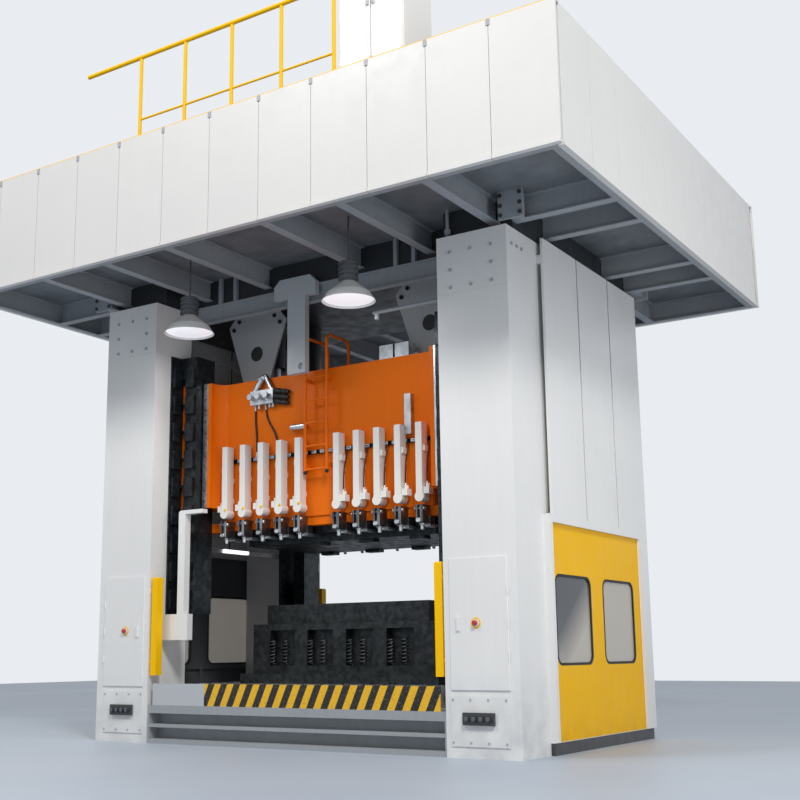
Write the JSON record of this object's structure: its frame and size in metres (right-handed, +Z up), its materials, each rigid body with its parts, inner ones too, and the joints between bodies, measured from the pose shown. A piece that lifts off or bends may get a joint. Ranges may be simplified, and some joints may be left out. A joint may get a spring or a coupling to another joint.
{
  "type": "four-point mechanical press",
  "caption": "Straight-side four-point sheet metal press with an orange slide, travelling die clamps, side lift doors and a walled platform round its crown.",
  "frame": {"origin": "middle of the platform's outline, at floor level", "axes": "+Z up, +X to the right seen from the front, +Y from the front to the back"},
  "size_m": [8.8, 6.74, 8.9],
  "materials": {
    "white_paint": "satin enamel, cool white",
    "fascia_paint": "satin enamel on folded sheet",
    "beam_paint": "semi-gloss enamel, light grey",
    "orange_paint": "gloss enamel, orange",
    "yellow_paint": "gloss enamel, yellow",
    "hazard_paint": "yellow enamel with black diagonals",
    "machined_steel": "ground and oiled",
    "zinc_plate": "bright zinc plate",
    "die_iron": "cast and oiled",
    "motor_paint": "semi-gloss enamel, blue grey",
    "black_rubber": "matt moulded rubber",
    "window_glass": "laminated safety glass",
    "lamp_aluminium": "spun and anodised",
    "lamp_cover": "opal cover",
    "button_red": "moulded"
  },
  "bodies": {
    "frame": {"balance_cylinders": "white_paint", "base_covers": "white_paint", "bed": "beam_paint", "bolster": "machined_steel", "centre_gear": "machined_steel", "connecting_rods": "machined_steel", "crown": "white_paint", "crown_cover": "white_paint", "deck_plates": "beam_paint", "door_frames": "yellow_paint", "drive_belts": "black_rubber", "drive_shaft": "machined_steel", "eccentric_gears": "machined_steel", "fascia_front": "fascia_paint", "fascia_rear": "fascia_paint", "fascia_sides": "fascia_paint", "frame_bolts": "zinc_plate", "front_rails": "beam_paint", "guard_boards": "hazard_paint", "guide_rails": "machined_steel", "handrail": "yellow_paint", "hanger_plates": "beam_paint", "head_blocks": "white_paint", "lamp_housings": "beam_paint", "lamp_shades": "lamp_aluminium", "light_curtains": "yellow_paint", "lower_die": "die_iron", "main_motor": "motor_paint", "platform_frame": "beam_paint", "safety_props": "white_paint", "service_duct": "beam_paint", "side_panels": "white_paint", "tie_rods": "machined_steel", "top_cabinet": "white_paint", "upper_railing": "yellow_paint", "uprights_front": "white_paint", "uprights_rear": "white_paint", "work_light": "lamp_cover"},
    "slide": {"slide": "orange_paint", "plungers": "machined_steel", "balance_rods": "machined_steel", "ladder": "orange_paint", "clamp_magazines": "zinc_plate", "slide_fittings": "zinc_plate", "clamp_hoses": "black_rubber", "upper_die": "die_iron"},
    "front_clamps": {"front_clamps": "die_iron"},
    "rear_clamps": {"rear_clamps": "die_iron"},
    "lift_door_left": {"lift_door_left": "yellow_paint", "door_gaskets_left": "black_rubber", "door_glass_left": "window_glass"},
    "lift_door_right": {"lift_door_right": "yellow_paint", "door_gaskets_right": "black_rubber", "door_glass_right": "window_glass"},
    "access_door_left": {"access_door_left": "white_paint"},
    "access_door_right": {"access_door_right": "white_paint"},
    "stop_button_left": {"stop_button_left": "button_red"},
    "stop_button_right": {"stop_button_right": "button_red"},
    "flywheel": {"flywheel": "die_iron"},
    "motor_pulley": {"motor_pulley": "machined_steel"}
  },
  "joints": [
    {"name": "ram_stroke", "type": "slide", "parent": "frame", "child": "slide", "axis": [0, 0, 1], "range_m": [-0.7, 0]},
    {"name": "front_clamp_travel", "type": "slide", "parent": "slide", "child": "front_clamps", "axis": [0, -1, 0], "range_m": [0, 0.15]},
    {"name": "rear_clamp_travel", "type": "slide", "parent": "slide", "child": "rear_clamps", "axis": [0, 1, 0], "range_m": [0, 0.15]},
    {"name": "lift_left", "type": "slide", "parent": "frame", "child": "lift_door_left", "axis": [0, 0, 1], "range_m": [0, 2.3]},
    {"name": "lift_right", "type": "slide", "parent": "frame", "child": "lift_door_right", "axis": [0, 0, 1], "range_m": [0, 2.3]},
    {"name": "access_hinge_left", "type": "hinge", "parent": "frame", "child": "access_door_left", "pos_m": [-2.95, -1.8955, 1.393], "axis": [0, 0, -1], "range_deg": [0, 110]},
    {"name": "access_hinge_right", "type": "hinge", "parent": "frame", "child": "access_door_right", "pos_m": [2.95, -1.8955, 1.393], "axis": [0, 0, 1], "range_deg": [0, 110]},
    {"name": "stop_press_left", "type": "slide", "parent": "access_door_left", "child": "stop_button_left", "axis": [0, 1, 0], "range_m": [0, 0.008], "stiffness_N_per_m": 1500},
    {"name": "stop_press_right", "type": "slide", "parent": "access_door_right", "child": "stop_button_right", "axis": [0, 1, 0], "range_m": [0, 0.008], "stiffness_N_per_m": 1500},
    {"name": "flywheel_spin", "type": "hinge", "parent": "frame", "child": "flywheel", "pos_m": [-0.51106, 1.53, 7.55986], "axis": [0, 1, 0], "continuous": true},
    {"name": "motor_spin", "type": "hinge", "parent": "frame", "child": "motor_pulley", "pos_m": [0.65, 1.53, 8.25], "axis": [0, 1, 0], "continuous": true}
  ],
  "couplings": [
    {"joint": "motor_spin", "follows": "flywheel_spin", "ratio": 4.3333}
  ]
}
